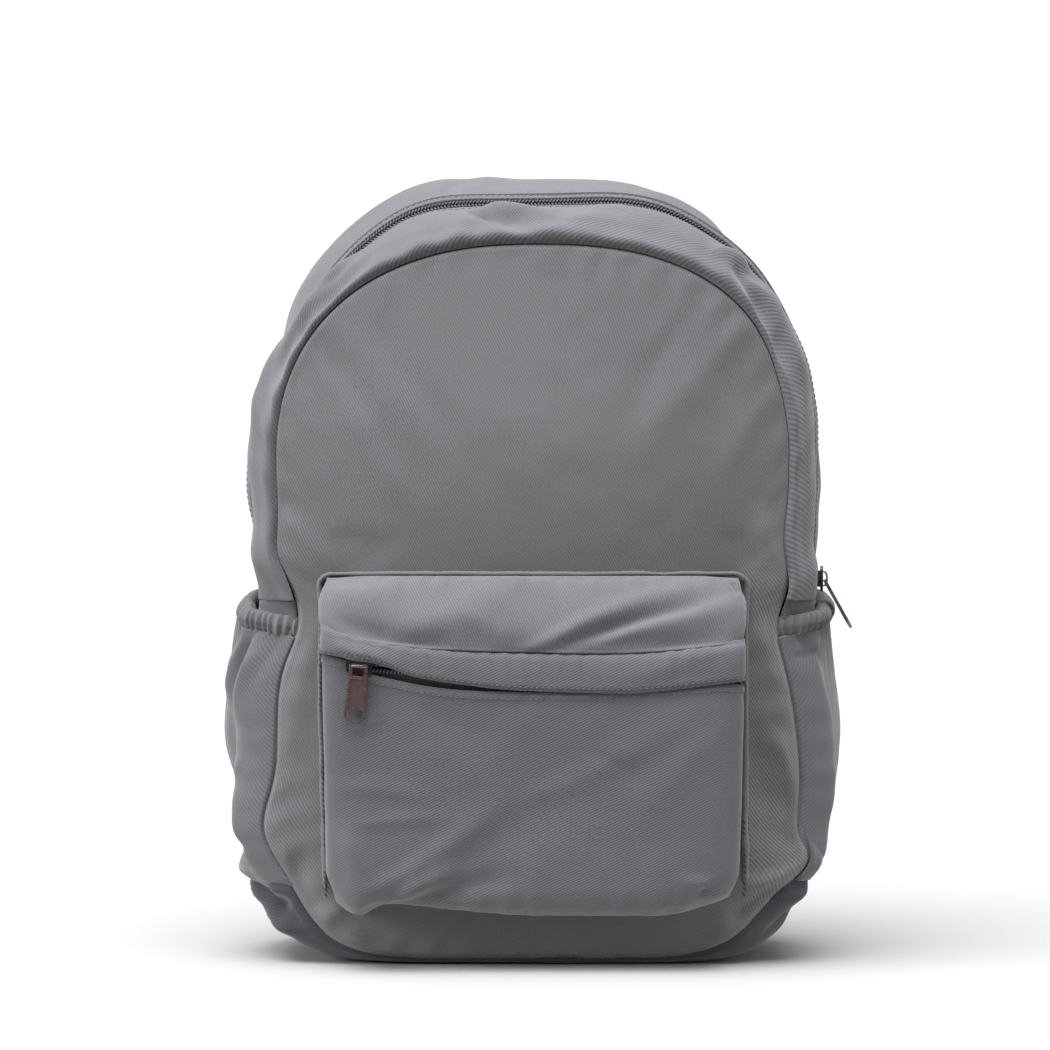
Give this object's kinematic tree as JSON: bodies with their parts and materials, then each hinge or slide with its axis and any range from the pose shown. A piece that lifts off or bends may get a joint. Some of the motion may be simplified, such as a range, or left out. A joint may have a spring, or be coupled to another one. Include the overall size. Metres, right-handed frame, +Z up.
{
  "type": "daypack",
  "caption": "Soft fabric daypack with a zipped arched main compartment that folds open at the front, a zipped box pocket, elastic side pockets and padded shoulder straps.",
  "frame": {"origin": "centre of the bounding box in plan, at the base the bag stands on", "axes": "+Z up; the front pocket faces -Y and the shoulder straps are on the +Y side; +X is to the viewer's right when looking at the front"},
  "size_m": [0.3462, 0.222, 0.429],
  "materials": {
    "twill": "mid grey cotton-look twill",
    "twill_light": "the same twill where it lies over the top",
    "elastic": "gathered twill over elastic",
    "webbing": "ribbed grey webbing",
    "zip": "dark grey nylon coil on woven tape",
    "metal": "dark antique plated die-cast metal",
    "plastic": "black moulded acetal"
  },
  "bodies": {
    "pack": {"front_panel_lower": "twill", "zip_gusset_rear": "twill_light", "gusset_end_left": "twill_light", "gusset_end_right": "twill_light", "side_gusset_left": "twill", "side_gusset_right": "twill", "base_panel": "twill", "back_panel": "twill", "back_yoke": "twill", "zip_coil_rear": "zip", "zip_stub_left": "zip", "zip_stub_right": "zip", "pocket_top": "twill_light", "pocket_flap": "twill", "pocket_face": "twill", "pocket_binding": "twill", "pocket_coil_upper": "zip", "pocket_coil_lower": "zip", "side_pocket_left": "twill", "side_pocket_right": "twill", "elastic_left": "elastic", "elastic_right": "elastic", "strap_left": "twill", "strap_right": "twill", "ladder_lock_left": "plastic", "ladder_lock_right": "plastic", "lock_tab_left": "webbing", "lock_tab_right": "webbing", "webbing_left": "webbing", "webbing_right": "webbing", "webbing_anchor_left": "twill", "webbing_anchor_right": "twill"},
    "lid": {"front_panel_upper": "twill", "zip_gusset_front": "twill_light", "zip_coil_front": "zip"},
    "main_slider": {"main_slider": "metal"},
    "main_puller": {"main_puller": "metal"},
    "pocket_slider": {"pocket_slider": "metal"},
    "pocket_puller": {"pocket_puller": "metal"},
    "haul_loop": {"haul_loop": "webbing"}
  },
  "joints": [
    {"name": "lid_open", "type": "hinge", "parent": "pack", "child": "lid", "pos_m": [0, -0.0664, 0.216], "axis": [1, 0, 0], "range_deg": [0, 60]},
    {"name": "main_slider_slide", "type": "slide", "parent": "pack", "child": "main_slider", "axis": [0, 0, 1], "range_m": [0, 0.055]},
    {"name": "main_puller_swing", "type": "hinge", "parent": "main_slider", "child": "main_puller", "pos_m": [0.15998, -0.01237, 0.2055], "axis": [-0.1239, -0.9923, 0], "range_deg": [0, 120]},
    {"name": "pocket_slider_slide", "type": "slide", "parent": "pack", "child": "pocket_slider", "axis": [0.9969, 0, -0.0788], "range_m": [0, 0.178]},
    {"name": "pocket_puller_swing", "type": "hinge", "parent": "pocket_slider", "child": "pocket_puller", "pos_m": [-0.0905, -0.107, 0.16121], "axis": [-1, 0, 0], "range_deg": [0, 40]},
    {"name": "haul_loop_swing", "type": "hinge", "parent": "pack", "child": "haul_loop", "pos_m": [0, 0.0903, 0.396], "axis": [1, 0, 0], "range_deg": [0, 90]}
  ]
}
